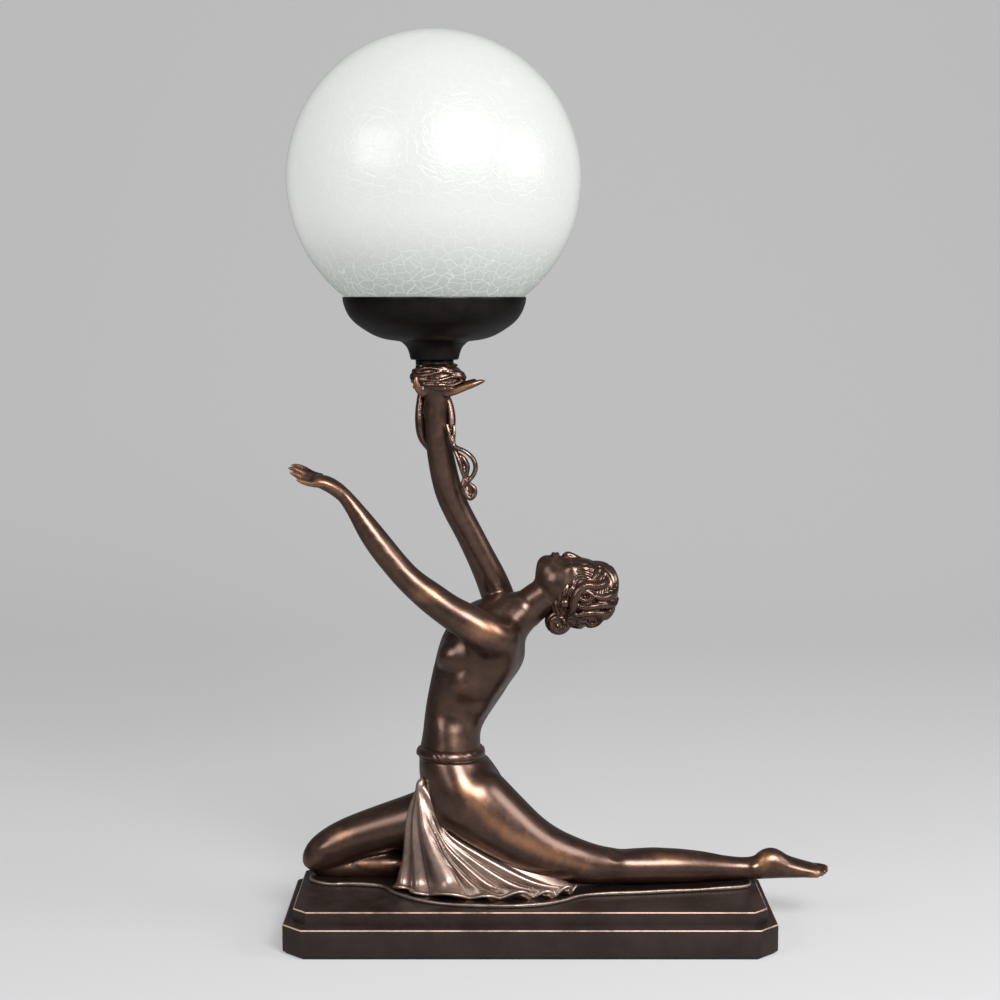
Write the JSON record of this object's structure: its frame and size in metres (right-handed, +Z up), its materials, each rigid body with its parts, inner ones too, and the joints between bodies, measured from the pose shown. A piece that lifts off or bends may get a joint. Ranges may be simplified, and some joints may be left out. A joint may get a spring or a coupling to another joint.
{
  "type": "figural table lamp",
  "caption": "Table lamp with a bronze-finish kneeling dancer on an oblong base, her raised hand holding a round crackle-glass globe in a cup.",
  "frame": {"origin": "middle of the base's underside, on the felt", "axes": "+Z up, +X to the figure's back (the way the stretched leg points), +Y away from the viewer"},
  "size_m": [0.2843, 0.15, 0.4644],
  "materials": {
    "figure_finish": "cold-cast bronze: dark chocolate brown rubbed to copper on the high places, satin",
    "base_finish": "cold-cast, almost black brown, satin, copper rubbed along the edges",
    "dark_brass": "spun brass, patinated almost black, satin",
    "crackle_glass": "white opal glass with a crackled skin",
    "steel": "zinc-plated steel",
    "plate_steel": "plain steel sheet",
    "soft_ring": "soft black rubber",
    "black_moulding": "black moulded plastic",
    "ceramic": "cream insulating moulding",
    "contact_metal": "bare brass",
    "cap_metal": "bright bulb cap",
    "bulb_clear": "clear glass",
    "filament": "glass stem with coated filament sticks",
    "lead_sheath": "white flexible lead",
    "copper": "bare copper",
    "felt": "dark green felt"
  },
  "bodies": {
    "lamp": {"base_casting": "base_finish", "ground_slab": "figure_finish", "hips": "figure_finish", "left_leg": "figure_finish", "right_leg": "figure_finish", "torso": "figure_finish", "left_arm": "figure_finish", "right_arm": "figure_finish", "head": "figure_finish", "waistband": "figure_finish", "skirt": "figure_finish", "scarf": "figure_finish", "stem_collar": "dark_brass", "gallery_cup": "dark_brass", "conduit": "steel", "conduit_washer": "steel", "conduit_nut": "steel", "nipple": "steel", "gallery_washer": "steel", "gallery_nut": "steel", "seat_ring": "soft_ring", "holder_cap": "black_moulding", "holder_body": "black_moulding", "holder_core": "ceramic", "contact_shell": "contact_metal", "centre_contact": "contact_metal", "inner_flex": "lead_sheath", "flex_cores": "copper", "terminal_block": "ceramic", "terminal_screws": "contact_metal", "inlet_bush": "black_moulding", "cover_plate": "plate_steel", "cover_screws": "steel", "felt_pad": "felt", "figure_screws": "steel", "joint_pins": "steel"},
    "globe": {"globe": "crackle_glass"},
    "bulb": {"bulb_glass": "bulb_clear", "bulb_cap": "cap_metal", "bulb_insulator": "black_moulding", "bulb_contact": "contact_metal", "filament": "filament"}
  },
  "joints": [
    {"name": "globe_lift", "type": "slide", "parent": "lamp", "child": "globe", "axis": [0, 0, 1], "range_m": [0, 0.12]},
    {"name": "bulb_draw", "type": "slide", "parent": "lamp", "child": "bulb", "axis": [0, 0, 1], "range_m": [0, 0.03]}
  ]
}
